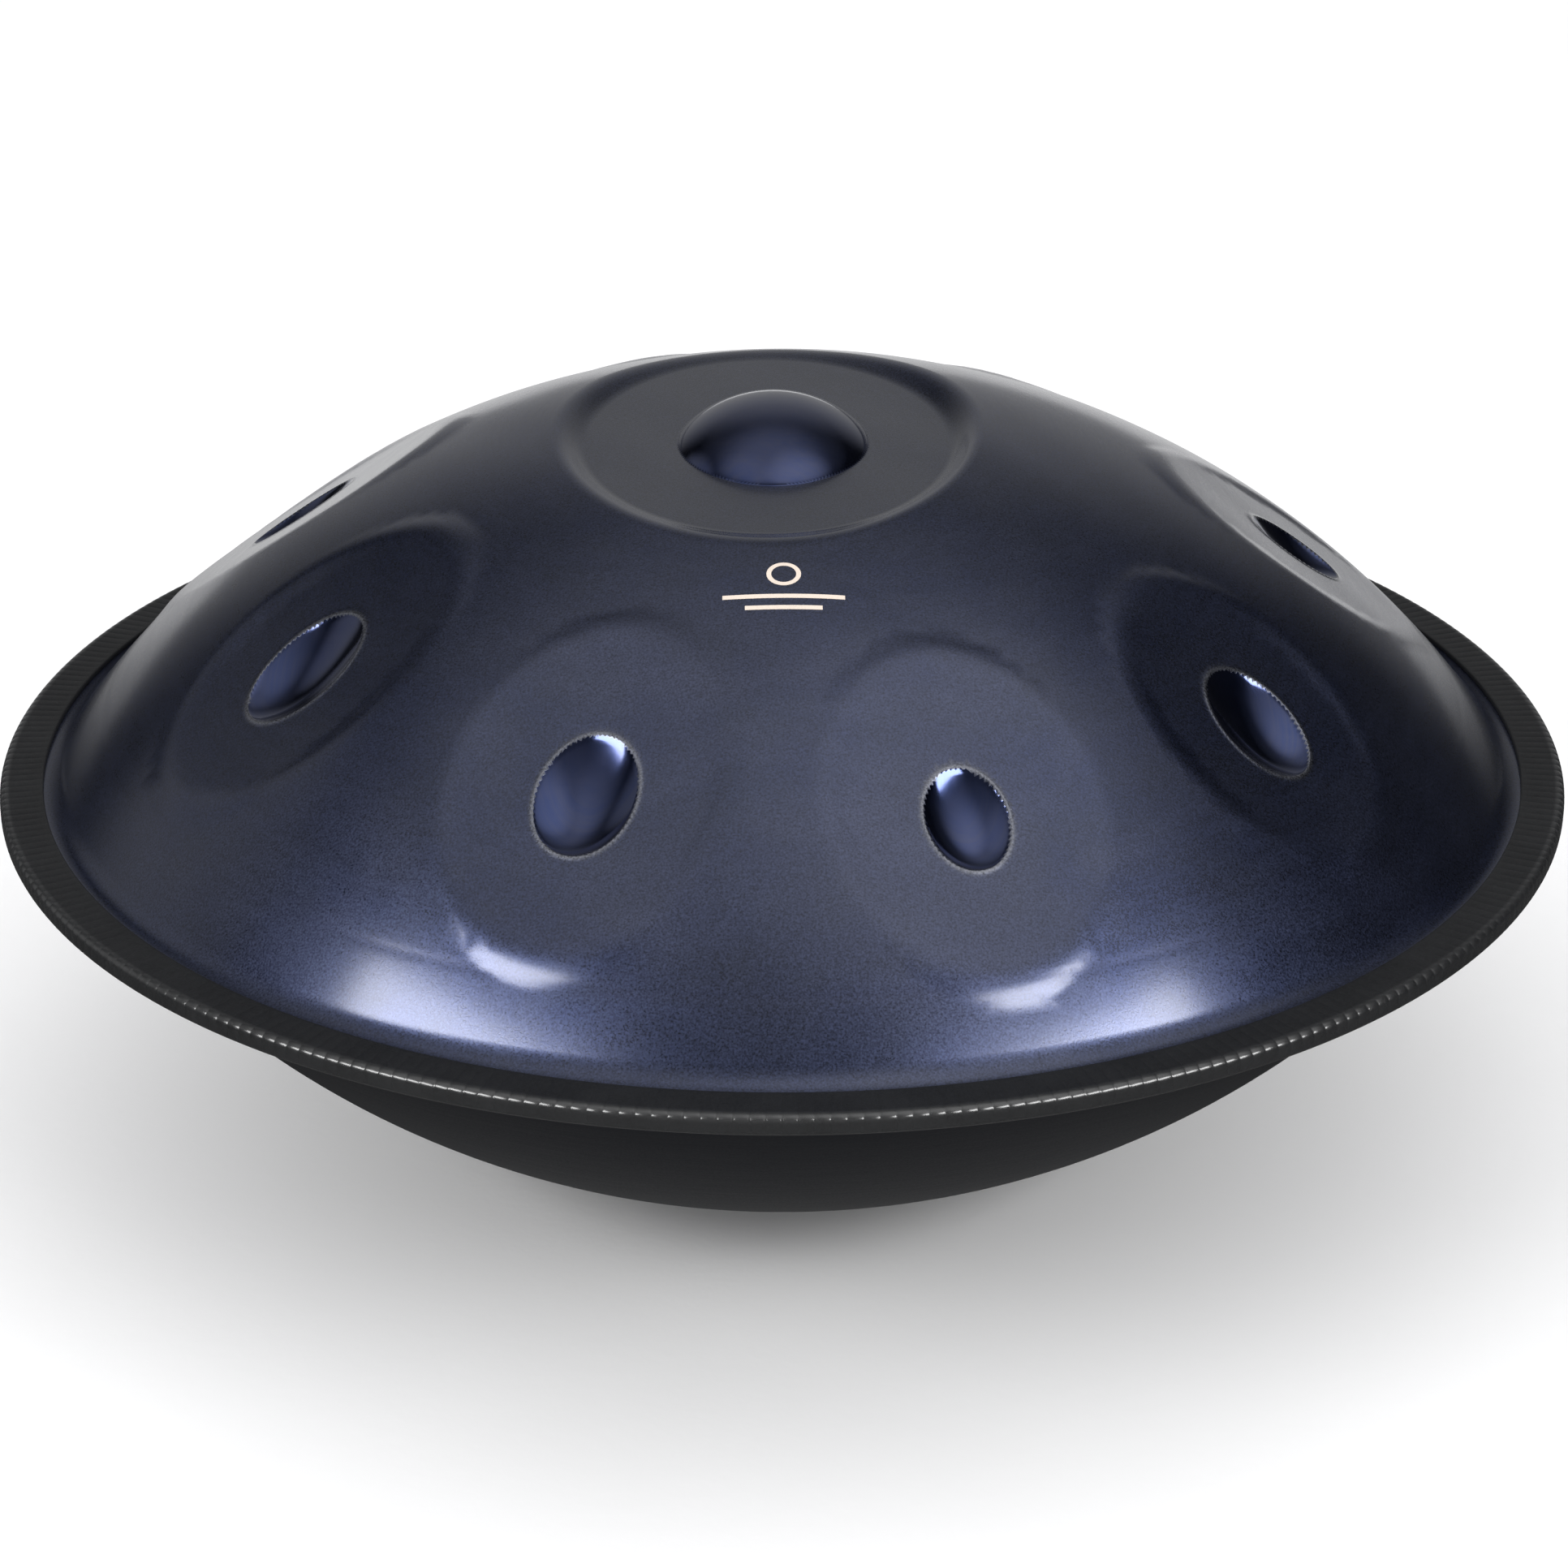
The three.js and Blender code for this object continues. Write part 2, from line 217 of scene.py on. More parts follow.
def dome_parts(x, y):
    """Height of the dome above its flange, with masks of its dimples, lips, centre note, bump and ring."""
    out = np.hypot(x, y)
    z = np.sqrt(np.maximum(DOME_SPHERE**2 - out**2, 1))
    height = z + DOME_CENTRE
    in_dimple = np.zeros_like(x)
    lip_highlight_mask = np.zeros_like(x)
    shift = np.zeros_like(x)
    for field in FIELDS:
        away, dimple, above = field.places(x, y, z)
        width = field.half * FIELD_WIDTH
        flat_sag = FIELD_FLATNESS * (field.half**2 + width**2) / (4 * DOME_SPHERE)
        blend = 1 - smoothstep(away, *FIELD_BLEND)
        depth = DIMPLE_DEPTH * field.dimple * DIMPLE_WIDTH
        dent = depth * (1 - np.minimum(1, dimple) ** 2)
        from_edge = (dimple - 1) * field.dimple * (1 + DIMPLE_WIDTH) / 2 - 0.4
        lip = np.exp(-((from_edge / LIP_WIDTH) ** 2))
        shift += (blend * (DOME_SPHERE - above - flat_sag) - dent + LIP_HEIGHT * lip) / field.lift
        in_dimple = np.maximum(in_dimple, 1 - smoothstep(dimple, 0.95, 1.03))
        lip_highlight_mask = np.maximum(lip_highlight_mask, lip)
    height = height + shift
    ding = ellipse_radii(x - DING_AT[0], y - DING_AT[1], *DING_HALF)
    ding_blend = 1 - smoothstep(ding, *DING_BLEND)
    height += (DING_LEVEL + DING_TILT * y - height) * ding_blend
    bump = ellipse_radii(x - BUMP_AT[0], y - BUMP_AT[1], *BUMP_HALF)
    height += BUMP_HEIGHT * np.maximum(0, 1 - bump**2) ** BUMP_POWER
    on_bump = 1 - smoothstep(bump, 0.97, 1.03)
    forming = np.exp(-(((out - FORMING_LINE) / FORMING_WIDTH) ** 2))
    inside = 1 - smoothstep(out, *HAMMERING_ENDS)
    rough_places = 1 - 0.8 * np.maximum(in_dimple, on_bump)
    hammering = waves(x, y, HAMMERING_LENGTHS, HAMMERING_SEED)
    height += HAMMERING_HEIGHT * hammering * inside * rough_places - FORMING_DEPTH * forming
    return height, in_dimple, lip_highlight_mask, ding_blend, on_bump, forming


def dome_height(x, y):
    """Top of the upper shell above its flange, with the rounded foot and the flat flange."""
    out = np.hypot(x, y)
    height = dome_parts(x, y)[0]
    foot = FOOT_SLOPE / (2 * FOOT_REACH) * np.maximum(0, FOOT_START + FOOT_REACH - out) ** 2
    return np.where(out > FOOT_START, foot, height)


def dome_normals(x, y):
    step = NORMAL_STEP
    slope_x = (dome_height(x + step, y) - dome_height(x - step, y)) / (2 * step)
    slope_y = (dome_height(x, y + step) - dome_height(x, y - step)) / (2 * step)
    normals = np.stack([-slope_x, -slope_y, np.ones_like(x)], axis=1)
    return normals / np.linalg.norm(normals, axis=1, keepdims=True)


def ring_points(centre, long_way, half_long, half_short, spacing):
    """Points of an ellipse about spacing millimetres apart."""
    around = math.pi * (half_long + half_short)
    count = max(8, round(around / spacing))
    angles = (np.arange(count) + 0.5) * 2 * math.pi / count
    short_way = np.array([-long_way[1], long_way[0]])
    return (
        centre
        + half_long * np.cos(angles)[:, None] * long_way
        + half_short * np.sin(angles)[:, None] * short_way
    )


def field_plan(field):
    centre = field.outward * field.out
    plan = [centre[None, :]]
    mean = field.dimple * (1 + DIMPLE_WIDTH) / 2
    scales = [0.12, 0.24, 0.36, 0.48, 0.6, 0.7, 0.79, 0.87, 0.93]
    scales += [1 + offset / mean for offset in (-0.6, -0.2, 0.1, 0.4, 0.7, 1.0, 1.4, 1.9, 2.8, 4.2)]
    for scale in scales:
        spacing = 1.6 if scale < 1.12 else 2.6
        half = field.dimple * scale
        plan.append(ring_points(centre, field.outward, half * field.lift, half * DIMPLE_WIDTH, spacing))
    return np.concatenate(plan)


def bump_plan():
    centre = np.array(BUMP_AT)
    plan = [centre[None, :]]
    lean = np.radians(np.linspace(4, 88, 24))
    for scale in [*np.sin(lean), 1.0, 1.01, 1.03, 1.07, 1.13]:
        spacing = 2.4 if scale < 0.9 else 1.4
        plan.append(ring_points(centre, FRONT, BUMP_HALF[1] * scale, BUMP_HALF[0] * scale, spacing))
    return np.concatenate(plan)


def ding_plan():
    """Rings over the soft step at the edge of the centre note."""
    plan = []
    for scale in np.linspace(DING_BLEND[0] - 0.01, DING_BLEND[1] + 0.01, 9):
        plan.append(ring_points(np.array(DING_AT), FRONT, DING_HALF[1] * scale, DING_HALF[0] * scale, 2.2))
    return np.concatenate(plan)


def plain_plan(spacing):
    """A triangular grid over the dome. It keeps clear of what has rings of its own."""
    rows = int(DOME_RADIUS / spacing * 1.3)
    row, column = np.meshgrid(np.arange(-rows, rows + 1), np.arange(-rows, rows + 1), indexing="ij")
    x = ((column + (row % 2) / 2) * spacing).ravel()
    y = (row * spacing * math.sqrt(3) / 2).ravel()
    keep = np.hypot(x, y) < FORMING_LINE - 5
    z = np.sqrt(np.maximum(DOME_SPHERE**2 - x**2 - y**2, 1))
    for field in FIELDS:
        keep &= field.places(x, y, z)[1] > 1.34
    keep &= ellipse_radii(x - BUMP_AT[0], y - BUMP_AT[1], *BUMP_HALF) > 1.2
    keep &= np.abs(ellipse_radii(x - DING_AT[0], y - DING_AT[1], *DING_HALF) - 1) > 0.11
    return np.stack([x[keep], y[keep]], axis=1)


def circle_plan(radius):
    angles = np.arange(RIM_STEPS) * 2 * math.pi / RIM_STEPS
    return np.stack([radius * np.sin(angles), -radius * np.cos(angles)], axis=1)


def shell_mesh(name):
    """The upper shell as a closed sheet: Delaunay triangles on top, the same underneath, and a rim."""
    rims = [FLANGE_RADIUS, 262, 258.5, 256]
    rims += list(np.linspace(FOOT_START + FOOT_REACH, FOOT_START, 10))
    rims += [244, 241, 238.5]
    rims += [FORMING_LINE + offset for offset in (3, 2.1, 1.4, 0.7, 0, -0.7, -1.4, -2.1, -3)]
    plan = [circle_plan(radius) for radius in rims]
    plan += [field_plan(field) for field in FIELDS]
    plan += [bump_plan(), ding_plan(), plain_plan(GRID_SPACING)]
    plan = np.concatenate(plan)
    plan, _, triangles, _, _, _ = delaunay_2d_cdt([Vector(p) for p in plan], [], [], 0, 1e-4)
    plan = np.array([tuple(p) for p in plan])
    x, y = plan[:, 0], plan[:, 1]
    out = np.hypot(x, y)
    top = dome_height(x, y)
    normals = dome_normals(x, y)
    lowest_upright = 0.55
    thickness = SHEET / np.maximum(normals[:, 2], lowest_upright)
    count = len(plan)
    base = MIDDLE + FLANGE_OUTSIDE
    upper = np.stack([x, y, top + base], axis=1)
    lower = np.stack([x, y, np.maximum(top - thickness, -SHEET) + base], axis=1)
    triangles = np.array([tuple(t) for t in triangles])
    a, b, c = (plan[triangles[:, k]] for k in range(3))
    turned = np.cross(b - a, c - a) < 0
    triangles[turned] = triangles[turned][:, ::-1]
    rim = np.where(out > FLANGE_RADIUS - 0.01)[0]
    rim = rim[np.argsort(np.arctan2(y[rim], x[rim]))]
    after = np.roll(rim, -1)
    wall_upper = np.stack([rim, rim + count, after], 1)
    wall_lower = np.stack([after, rim + count, after + count], 1)
    wall = np.concatenate([wall_upper, wall_lower])
    faces = np.concatenate([triangles, triangles[:, ::-1] + count, wall])
    mesh = bpy.data.meshes.new(name)
    mesh.from_pydata((np.concatenate([upper, lower]) * MM).tolist(), [], faces.tolist())
    loop_normals = np.concatenate([normals, -normals])[faces.ravel()]
    first_wall = 3 * (len(faces) - len(wall))
    radial = np.stack([x, y, np.zeros(count)], axis=1) / np.maximum(out, 1)[:, None]
    loop_normals[first_wall:] = np.concatenate([radial, radial])[wall.ravel()]
    mesh.shade_smooth()
    mesh.normals_split_custom_set(loop_normals.tolist())
    _, in_dimple, lip_highlight_mask, ding_reflection_mask, on_bump, forming = dome_parts(x, y)
    polished = np.maximum(in_dimple, on_bump)
    material = np.zeros(len(faces), dtype=np.int32)
    material[: len(triangles)] = polished[triangles].min(axis=1) > POLISHED_LIMIT
    mesh.polygons.foreach_set("material_index", material)
    # The lip mask carries a painted highlight into the steel's colour, and the ding mask a painted
    # reflection.
    for key, values in (("lip", lip_highlight_mask), ("ding", ding_reflection_mask), ("forming", forming)):
        attribute = mesh.attributes.new(key, "FLOAT", "POINT")
        attribute.data.foreach_set("value", np.concatenate([values, values]).astype(np.float32))
    return mesh


# ---------------------------------------------------------------- turned and swept pieces


def arc(x, y, radius, start, end, steps):
    angles = np.radians(np.linspace(start, end, steps + 1))
    return [(x + radius * math.cos(a), y + radius * math.sin(a)) for a in angles]


def turned_mesh(name, profile, steps):
    """A closed profile of (radius, height) points turned around the axis."""
    profile = np.array(profile)
    count = len(profile)
    angles = np.arange(steps) * 2 * math.pi / steps
    radius, height = profile[:, 0], profile[:, 1]
    vertices = np.stack(
        [
            np.outer(np.cos(angles), radius),
            np.outer(np.sin(angles), radius),
            np.outer(np.ones(steps), height),
        ],
        axis=2,
    ).reshape(-1, 3)
    here = np.arange(steps)[:, None] * count + np.arange(count)[None, :]
    ahead = np.roll(here, -1, axis=0)
    up = np.roll(here, -1, axis=1)
    both = np.roll(ahead, -1, axis=1)
    faces = np.stack([here, ahead, both, up], axis=2).reshape(-1, 4)
    mesh = bpy.data.meshes.new(name)
    mesh.from_pydata((vertices * MM).tolist(), [], faces.tolist())
    mesh.shade_smooth()
    mesh.set_sharp_from_angle(angle=math.radians(35))
    return mesh


def bowl_mesh(name):
    """The lower shell: flange, rounded corner, bowl, resting ring and the rolled neck of the port."""

    def bowl_arc(radius, from_out, to_out, steps):
        def edge(out):
            return -math.degrees(math.acos(out / radius))

        return arc(0, BOWL_CENTRE, radius, edge(from_out), edge(to_out), steps)

    port_edge = REST_RADIUS + REST_WIDTH
    roll_height = PORT_ROLL - MIDDLE
    neck_top = PORT_NECK - MIDDLE
    profile = [(FLANGE_RADIUS, -FLANGE_INSIDE), (BOWL_RADIUS + 2, -FLANGE_INSIDE)]
    profile += arc(BOWL_RADIUS + 1.2, -FLANGE_INSIDE - 1.6, 1.6, 90, 145, 4)
    profile += bowl_arc(BOWL_SPHERE - SHEET, BOWL_RADIUS - 2.9, port_edge + 6, 48)
    profile += [(port_edge + 2.5, SHEET - MIDDLE + 0.35), (port_edge, SHEET - MIDDLE)]
    profile += [(REST_RADIUS + 2, SHEET - MIDDLE)]
    profile += arc(REST_RADIUS, roll_height, PORT_ROLL - SHEET, 270, 180, 10)
    profile += [(PORT_RADIUS + SHEET, neck_top - 0.5)]
    profile += arc(PORT_RADIUS + SHEET / 2, neck_top - SHEET / 2, SHEET / 2, 0, 180, 6)
    profile += arc(REST_RADIUS, roll_height, PORT_ROLL, 180, 270, 12)
    profile += [(REST_RADIUS + 2, -MIDDLE), (port_edge, -MIDDLE), (port_edge + 2.5, 0.35 - MIDDLE)]
    profile += bowl_arc(BOWL_SPHERE, port_edge + 6, BOWL_RADIUS - 1.7, 56)
    profile += arc(BOWL_RADIUS + 2.4, -FLANGE_OUTSIDE - 2.6, 2.6, 145, 90, 5)
    profile += [(FLANGE_RADIUS, -FLANGE_OUTSIDE)]
    return turned_mesh(name, [(r, h + MIDDLE) for r, h in profile], 288)


def trim_section():
    """Outline of the trim's section as (height, depth inwards from the outside, share of rib depth)."""
    half = TRIM_THICKNESS / 2
    depth = TRIM_RADIUS - TRIM_INNER
    leg = half - FLANGE_OUTSIDE - TRIM_GAP
    web = TRIM_RADIUS - FLANGE_RADIUS - TRIM_WEB_GAP
    upper, lower, tip = 2.6, 1.6, 0.7
    points = [(half - leg, depth, 0), (half - tip, depth, 0)]
    for a in np.radians([30, 60, 90]):
        points.append((half - tip + tip * math.sin(a), depth - tip + tip * math.cos(a), 0.1))
    top = ((12.9, 0.5), (11.5, 0.8), (9, 1), (6.5, 1), (4.4, 1), (3.2, 1))
    points += [(half, d, share) for d, share in top]
    for a in np.radians(np.linspace(0, 90, 8)):
        points.append((half - upper + upper * math.cos(a), upper - upper * math.sin(a), 1))
    points += [(0, 0, 1), (-0.9, 0, 0.9)]
    for a in np.radians(np.linspace(0, 90, 7)) * 0.9999:
        points.append((-half + lower - lower * math.sin(a), lower - lower * math.cos(a), 0.7 - 0.7 * a))
    underside = ((3.5, 0.3), (6.5, 0.6), (10, 0.6), (13, 0.3))
    points += [(-half, d, share) for d, share in underside]
    points += [(-half, depth - tip, 0), (-half + 0.25, depth - 0.2, 0), (-half + tip, depth, 0)]
    points += [(leg - half, depth, 0), (leg - half, 9, 0), (leg - half, web, 0)]
    points += [(half - leg, web, 0), (half - leg, 9, 0)]
    return points


def core_slot():
    """Outline of the slot for the steel core in the trim's section, as (height, depth inwards)."""
    half = TRIM_THICKNESS / 2 - 0.6 + CORE_GAP
    outside = 1.4 - CORE_GAP
    end = TRIM_RADIUS - TRIM_INNER - 1.5 + CORE_GAP
    wall = CORE_THICKNESS + 2 * CORE_GAP
    return [
        (half, end), (half, outside), (-half, outside), (-half, end),
        (wall - half, end), (wall - half, outside + wall),
        (half - wall, outside + wall), (half - wall, end),
    ]


def swept_loop(section, angles, rib_depths):
    """Vertices of a section loop at each angle around the rim, with ribs pressed in towards its middle."""
    rows = []
    middle = 6.0
    for angle, rib in zip(angles, rib_depths):
        for height, depth, *share in section:
            press = rib * share[0] if share else 0
            away = math.hypot(height, min(0, depth - middle)) or 1
            height_in = height - press * height / away
            depth_in = depth - press * min(0, depth - middle) / away
            radius = TRIM_RADIUS - depth_in
            rows.append((radius * math.cos(angle), radius * math.sin(angle), MIDDLE + height_in))
    return rows


def trim_mesh(name):
    """The ribbed strip, once round the rim, with its butt joint at the back and the core's slot inside."""
    phases, pressed = np.array(RIB_SHAPE).T
    pressed = pressed * RIB_DEPTH
    seam = math.radians(SEAM_DEGREES)
    turns = (np.arange(RIB_COUNT)[:, None] + phases[None, :]).ravel() / RIB_COUNT
    turns = np.append(turns, 1.0)
    angles = math.pi / 2 + seam / 2 + turns * (2 * math.pi - seam)
    depths = np.append(np.tile(pressed, RIB_COUNT), pressed[0])
    outer = trim_section()
    inner = core_slot()
    few = np.linspace(0, len(angles) - 1, 181).round().astype(int)
    vertices = swept_loop(outer, angles, depths)
    slot_start = len(vertices)
    vertices += swept_loop(inner, angles[few], np.zeros(len(few)))
    faces = []
    for start, count, rows in ((0, len(outer), len(angles)), (slot_start, len(inner), len(few))):
        row_start = start + np.arange(rows - 1)[:, None] * count
        here = row_start + np.arange(count)[None, :]
        up = row_start + (np.arange(count)[None, :] + 1) % count
        quads = np.stack([here, up, up + count, here + count], axis=2).reshape(-1, 4)
        faces += quads.tolist()
    flat = [[Vector((h, d, 0)) for h, d, *_ in outer], [Vector((h, d, 0)) for h, d in inner]]
    numbers = list(range(len(outer))) + list(range(slot_start, slot_start + len(inner)))
    last = [i + (len(angles) - 1) * len(outer) for i in range(len(outer))]
    last += [slot_start + i + (len(few) - 1) * len(inner) for i in range(len(inner))]
    for a, b, c in tessellate_polygon(flat):
        faces.append([numbers[a], numbers[b], numbers[c]])
        faces.append([last[c], last[b], last[a]])
    mesh = bpy.data.meshes.new(name)
    mesh.from_pydata((np.array(vertices) * MM).tolist(), [], faces)
    made = make_consistent(mesh)
    made.shade_smooth()
    made.set_sharp_from_angle(angle=math.radians(50))
    return made


def make_consistent(mesh):
    work = bmesh.new()
    work.from_mesh(mesh)
    bmesh.ops.recalc_face_normals(work, faces=work.faces)
    work.to_mesh(mesh)
    work.free()
    return mesh


def mark_point(u, v, height):
    """A point of the mark, u to the right and v up the slope from its middle, at a height above the steel."""
    x = np.array([MARK_X + u])
    y = np.array([-(MARK_OUT - v * MARK_PLAN_RATIO)])
    top = dome_height(x, y)[0] + MIDDLE + FLANGE_OUTSIDE
    return tuple(np.array([x[0], y[0], top]) + dome_normals(x, y)[0] * height)


def add_mark_ring(vertices, faces):
    outer, inner = MARK_RING
    low, high = MARK_LIFT, MARK_LIFT + MARK_SKIN
    count = 48
    angles = np.arange(count) * 2 * math.pi / count
    start = len(vertices)
    for radius, height in ((outer, high), (inner, high), (inner, low), (outer, low)):
        vertices += [mark_point(radius * math.cos(a), radius * math.sin(a), height) for a in angles]
    for i in range(count):
        j = (i + 1) % count
        for k in range(4):
            a, b = start + k * count, start + (k + 1) % 4 * count
            faces.append([a + i, a + j, b + j, b + i])


def add_mark_bar(vertices, faces, width, v):
    columns = int(width / 1.2)
    row = columns + 1
    start = len(vertices)
    for height in (MARK_LIFT + MARK_SKIN, MARK_LIFT):
        for side in (MARK_BAR_HALF, -MARK_BAR_HALF):
            vertices += [mark_point(width * (i / columns - 0.5), v + side, height) for i in range(row)]
    for i in range(columns):
        top_a, top_b, low_a, low_b = (start + k * row + i for k in range(4))
        faces.append([top_a, top_b, top_b + 1, top_a + 1])
        faces.append([low_a, low_a + 1, low_b + 1, low_b])
        faces.append([top_a, top_a + 1, low_a + 1, low_a])
        faces.append([top_b, low_b, low_b + 1, top_b + 1])
    for i in (0, columns):
        top_a, top_b, low_a, low_b = (start + k * row + i for k in range(4))
        faces.append([top_a, low_a, low_b, top_b])


def printed_mark_mesh(name):
    """A generic print on the front of the dome: a plain ring over two short bars, a thin skin of ink."""
    vertices, faces = [], []
    add_mark_ring(vertices, faces)
    for width, v in MARK_BARS:
        add_mark_bar(vertices, faces, width, v)
    mesh = bpy.data.meshes.new(name)
    mesh.from_pydata((np.array(vertices) * MM).tolist(), [], faces)
    mesh = make_consistent(mesh)
    mesh.shade_smooth()
    mesh.set_sharp_from_angle(angle=math.radians(40))
    return mesh


# ---------------------------------------------------------------- materials


class Nodes:
    """Short way to write a material's nodes. An input is a value or another node's output."""

    def __init__(self, name):
        self.material = bpy.data.materials.new(name)
        self.material.use_nodes = True
        self.tree = self.material.node_tree
        self.tree.nodes.clear()

    def add(self, kind, inputs=None, out=0, **properties):
        node = self.tree.nodes.new("ShaderNode" + kind)
        for key, value in properties.items():
            setattr(node, key, value)
        for key, value in (inputs or {}).items():
            socket = node.inputs[key]
            if isinstance(value, bpy.types.NodeSocket):
                self.tree.links.new(value, socket)
            else:
                socket.default_value = value
        return node.outputs[out] if node.outputs else None

    def math(self, operation, a, b=0.0):
        return self.add("Math", {0: a, 1: b}, operation=operation)

    def mix(self, factor, a, b, blend="MIX"):
        """Colours a and b mixed by a factor."""
        inputs = {0: factor, 6: a, 7: b}
        return self.add("Mix", inputs, out=2, data_type="RGBA", blend_type=blend)

    def range(self, value, low, high, to_low, to_high):
        return self.add("MapRange", {0: value, 1: low, 2: high, 3: to_low, 4: to_high})

    def noise(self, vector, scale, detail=3.0, roughness=0.5, distortion=0.0):
        inputs = {"Vector": vector, "Scale": scale, "Detail": detail}
        inputs |= {"Roughness": roughness, "Distortion": distortion}
        return self.add("TexNoise", inputs)

    def attribute(self, name):
        return self.add("Attribute", out=2, attribute_name=name)

    def place(self):
        return self.add("TexCoord", out=3)

    def bump(self, height, distance, normal=None):
        inputs = {"Height": height, "Distance": distance}
        if normal is not None:
            inputs["Normal"] = normal
        return self.add("Bump", inputs)

    def around(self, along, across):
        """Coordinates for streaks around the axis, stretched by how they change along and across."""
        split = self.tree.nodes.new("ShaderNodeSeparateXYZ")
        self.tree.links.new(self.place(), split.inputs[0])
        x, y, z = split.outputs
        out = self.math("SQRT", self.math("ADD", self.math("MULTIPLY", x, x), self.math("MULTIPLY", y, y)))
        safe = self.math("MAXIMUM", out, 0.001)
        slope = self.math("ADD", out, self.math("MULTIPLY", z, 0.7))
        inputs = {
            0: self.math("MULTIPLY", self.math("DIVIDE", x, safe), along),
            1: self.math("MULTIPLY", self.math("DIVIDE", y, safe), along),
            2: self.math("MULTIPLY", slope, across),
        }
        return self.add("CombineXYZ", inputs)

    def surface(self, **inputs):
        names = {key.replace("_", " ").title(): value for key, value in inputs.items()}
        names = {key.replace("Ior", "IOR"): value for key, value in names.items()}
        shader = self.add("BsdfPrincipled", names)
        self.add("OutputMaterial", {"Surface": shader})
        return self.material


def rgb(red, green, blue):
    return (red, green, blue, 1.0)


def nitrided_steel():
    """Dark blue nitrided steel: brushed around the axis, sandy, with a painted highlight on the dimples'
    lips.
    """
    n = Nodes("nitrided_steel_blue")
    place = n.place()
    lip = n.attribute("lip")
    ding = n.attribute("ding")
    forming = n.attribute("forming")
    clouds = n.noise(place, 9.0, 3.0, 0.55, 0.4)
    blotches = n.noise(place, 34.0, 4.0, 0.6)
    streaks = n.noise(n.around(7.0, 900.0), 1.0, 4.0, 0.65)
    wide_streaks = n.noise(n.around(5.0, 150.0), 1.0, 3.0, 0.6)
    sand = n.noise(place, 1500.0, 2.0, 0.6)
    fine_sand = n.noise(place, 3600.0, 1.0, 0.5)
    blue = n.mix(n.range(clouds, 0.35, 0.65, 0.0, 1.0), rgb(0.04, 0.054, 0.125), rgb(0.054, 0.066, 0.13))
    blue = n.mix(n.range(blotches, 0.4, 0.7, 0.0, 0.45), blue, rgb(0.056, 0.066, 0.11))
    blue = n.mix(n.range(wide_streaks, 0.45, 0.75, 0.0, 0.4), blue, rgb(0.085, 0.1, 0.18))
    # Painted reflection: the centre note is painted greyer and paler, standing in for the pale room it
    # reflects.
    blue = n.mix(n.math("MULTIPLY", ding, 0.35), blue, rgb(0.075, 0.08, 0.1))
    # Painted highlight: the dimples' lips are painted pale grey where their rounded edge catches the light.
    blue = n.mix(n.math("MULTIPLY", lip, 0.55), blue, rgb(0.42, 0.43, 0.46))
    blue = n.mix(n.math("MULTIPLY", forming, 0.3), blue, rgb(0.05, 0.06, 0.12))
    blue = n.mix(1.0, blue, n.range(sand, 0.3, 0.7, 0.55, 1.45), "MULTIPLY")
    rough = n.math("ADD", 0.31, n.range(sand, 0.3, 0.7, -0.06, 0.06))
    rough = n.math("ADD", rough, n.range(clouds, 0.3, 0.7, -0.03, 0.04))
    rough = n.math("ADD", rough, n.range(streaks, 0.3, 0.7, -0.03, 0.03))
    rough = n.math("SUBTRACT", rough, n.math("MULTIPLY", ding, 0.03))
    grain = n.math("ADD", sand, n.math("MULTIPLY", fine_sand, 0.5))
    bump = n.bump(grain, 0.00002)
    bump = n.bump(streaks, 0.00002, normal=bump)
    soft_bump = n.bump(grain, 0.00001)
    return n.surface(
        base_color=blue, metallic=1.0, roughness=rough, normal=bump,
        coat_weight=1.0, coat_roughness=0.16, coat_ior=1.6, coat_normal=soft_bump,
    )


def polished_steel():
    """The same blue steel where the dimples and the centre bump are pressed and polished smooth."""
    n = Nodes("nitrided_steel_polished")
    place = n.place()
    clouds = n.noise(place, 60.0, 3.0, 0.55, 0.4)
    streaks = n.noise(n.around(9.0, 1100.0), 1.0, 4.0, 0.65)
    sand = n.noise(place, 2000.0, 2.0, 0.6)
    blue = n.mix(n.range(clouds, 0.35, 0.65, 0.0, 1.0), rgb(0.035, 0.06, 0.19), rgb(0.06, 0.08, 0.2))
    blue = n.mix(n.range(streaks, 0.4, 0.7, 0.0, 0.35), blue, rgb(0.09, 0.1, 0.17))
    rough = n.math("ADD", 0.12, n.range(clouds, 0.3, 0.7, -0.02, 0.03))
    rough = n.math("ADD", rough, n.range(streaks, 0.3, 0.7, -0.015, 0.02))
    bump = n.bump(sand, 0.000002)
    bump = n.bump(streaks, 0.000004, normal=bump)
    return n.surface(
        base_color=blue, metallic=1.0, roughness=rough, normal=bump,
        coat_weight=1.0, coat_roughness=0.09, coat_ior=1.5, coat_normal=bump,
    )


